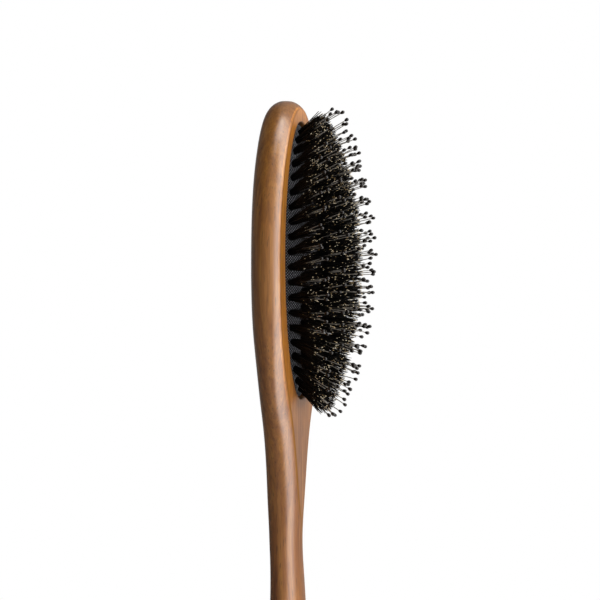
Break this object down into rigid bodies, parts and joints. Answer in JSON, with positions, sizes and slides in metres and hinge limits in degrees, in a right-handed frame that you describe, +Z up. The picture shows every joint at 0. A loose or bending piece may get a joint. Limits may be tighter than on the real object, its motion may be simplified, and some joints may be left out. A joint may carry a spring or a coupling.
{
  "type": "oval cushion brush",
  "caption": "Wooden oval cushion brush with a domed air cushion, bristle tufts and ball-tipped nylon pins, for brushing skin or hair.",
  "frame": {"origin": "centre of the handle's butt, on the handle's axis", "axes": "+Z up the handle to the crown of the head, -Y the bristle side, +Y the back, X the width"},
  "size_m": [0.068, 0.0443, 0.2374],
  "materials": {
    "lacquered_wood": "satin clear lacquer over walnut-toned solid wood, grain along the handle",
    "cushion_cloth": "black rubber bonded to a fine diagonal woven cloth",
    "bristle": "black natural bristle with pale cut tips",
    "nylon": "translucent grey nylon filament",
    "ball_tip": "glossy black moulded bead",
    "anchor_wire": "plain drawn steel wire"
  },
  "bodies": {
    "body": {"wood_body": "lacquered_wood", "cushion_pad": "cushion_cloth"},
    "outer_ring": {"outer_ring_bristles": "bristle", "outer_ring_pins": "nylon", "outer_ring_ball_tips": "ball_tip", "outer_ring_anchors": "anchor_wire"},
    "second_ring": {"second_ring_bristles": "bristle", "second_ring_pins": "nylon", "second_ring_ball_tips": "ball_tip", "second_ring_anchors": "anchor_wire"},
    "third_ring": {"third_ring_bristles": "bristle", "third_ring_pins": "nylon", "third_ring_ball_tips": "ball_tip", "third_ring_anchors": "anchor_wire"},
    "centre_row": {"centre_row_bristles": "bristle", "centre_row_pins": "nylon", "centre_row_ball_tips": "ball_tip", "centre_row_anchors": "anchor_wire"}
  },
  "joints": [
    {"name": "cushion_press", "type": "slide", "parent": "body", "child": "centre_row", "axis": [0, 1, 0], "range_m": [0, 0.003], "stiffness_N_per_m": 900, "deforming": ["cushion_pad"]},
    {"name": "third_ring_press", "type": "slide", "parent": "body", "child": "third_ring", "axis": [0, 1, 0], "range_m": [0, 0.0024]},
    {"name": "second_ring_press", "type": "slide", "parent": "body", "child": "second_ring", "axis": [0, 1, 0], "range_m": [0, 0.0015]},
    {"name": "outer_ring_press", "type": "slide", "parent": "body", "child": "outer_ring", "axis": [0, 1, 0], "range_m": [0, 0.0004501]}
  ],
  "couplings": [
    {"joint": "third_ring_press", "follows": "cushion_press", "ratio": 0.8},
    {"joint": "second_ring_press", "follows": "cushion_press", "ratio": 0.5},
    {"joint": "outer_ring_press", "follows": "cushion_press", "ratio": 0.15}
  ]
}
